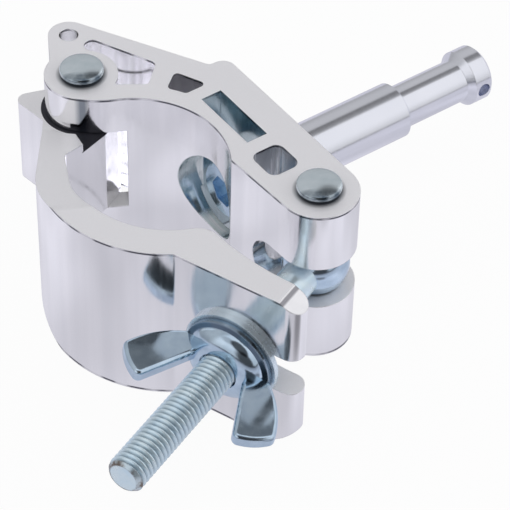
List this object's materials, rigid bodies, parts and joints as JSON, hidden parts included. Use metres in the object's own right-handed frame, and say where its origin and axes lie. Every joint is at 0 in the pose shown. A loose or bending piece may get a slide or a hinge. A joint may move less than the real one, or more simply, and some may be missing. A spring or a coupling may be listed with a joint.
{
  "type": "tube clamp with spigot",
  "caption": "Aluminium tube clamp with a hinged strap closed by a swing bolt and wing nut, and a stepped chrome spigot with a cross hole standing out of its flat back",
  "frame": {"origin": "on the axis of the tube seat, at half of the clamp's height", "axes": "+Z along the tube and the extrusion, +X along the spigot away from the tube, +Y towards the hinge side"},
  "size_m": [0.1652, 0.1335, 0.053],
  "materials": {
    "body": "bright extruded walls with matt cut end faces",
    "strap": "bright extruded walls with matt cut end faces",
    "zinc": "blue-white zinc plated steel",
    "chrome": "bright plated, turned"
  },
  "bodies": {
    "body": {"clamp_body": "body", "hinge_pin": "zinc", "pivot_pin": "zinc", "spigot": "chrome", "spigot_screw": "zinc"},
    "strap": {"strap": "strap"},
    "swing_bolt": {"swing_bolt": "zinc"},
    "washer": {"washer": "zinc"},
    "wing_nut": {"wing_nut": "zinc"}
  },
  "joints": [
    {"name": "nut_spin", "type": "hinge", "parent": "washer", "child": "wing_nut", "pos_m": [0.0329, -0.0348, 0], "axis": [-0.9278, -0.373, 0], "range_deg": [0, 9600]},
    {"name": "nut_travel", "type": "slide", "parent": "swing_bolt", "child": "washer", "axis": [-0.9278, -0.373, 0], "range_m": [0, 0.0401]},
    {"name": "bolt_swing", "type": "hinge", "parent": "body", "child": "swing_bolt", "pos_m": [0.0329, -0.0348, 0], "axis": [0, 0, 1], "range_deg": [0, 60.1]},
    {"name": "strap_hinge", "type": "hinge", "parent": "body", "child": "strap", "pos_m": [0.0082, 0.0365, 0], "axis": [0, 0, 1], "range_deg": [-15.1, 0]}
  ],
  "couplings": [
    {"joint": "nut_travel", "follows": "nut_spin", "m_per_rad": 0.00023873},
    {"joint": "bolt_swing", "follows": "nut_spin", "ratio": 0.00625},
    {"joint": "strap_hinge", "follows": "nut_spin", "ratio": -0.0015625}
  ]
}
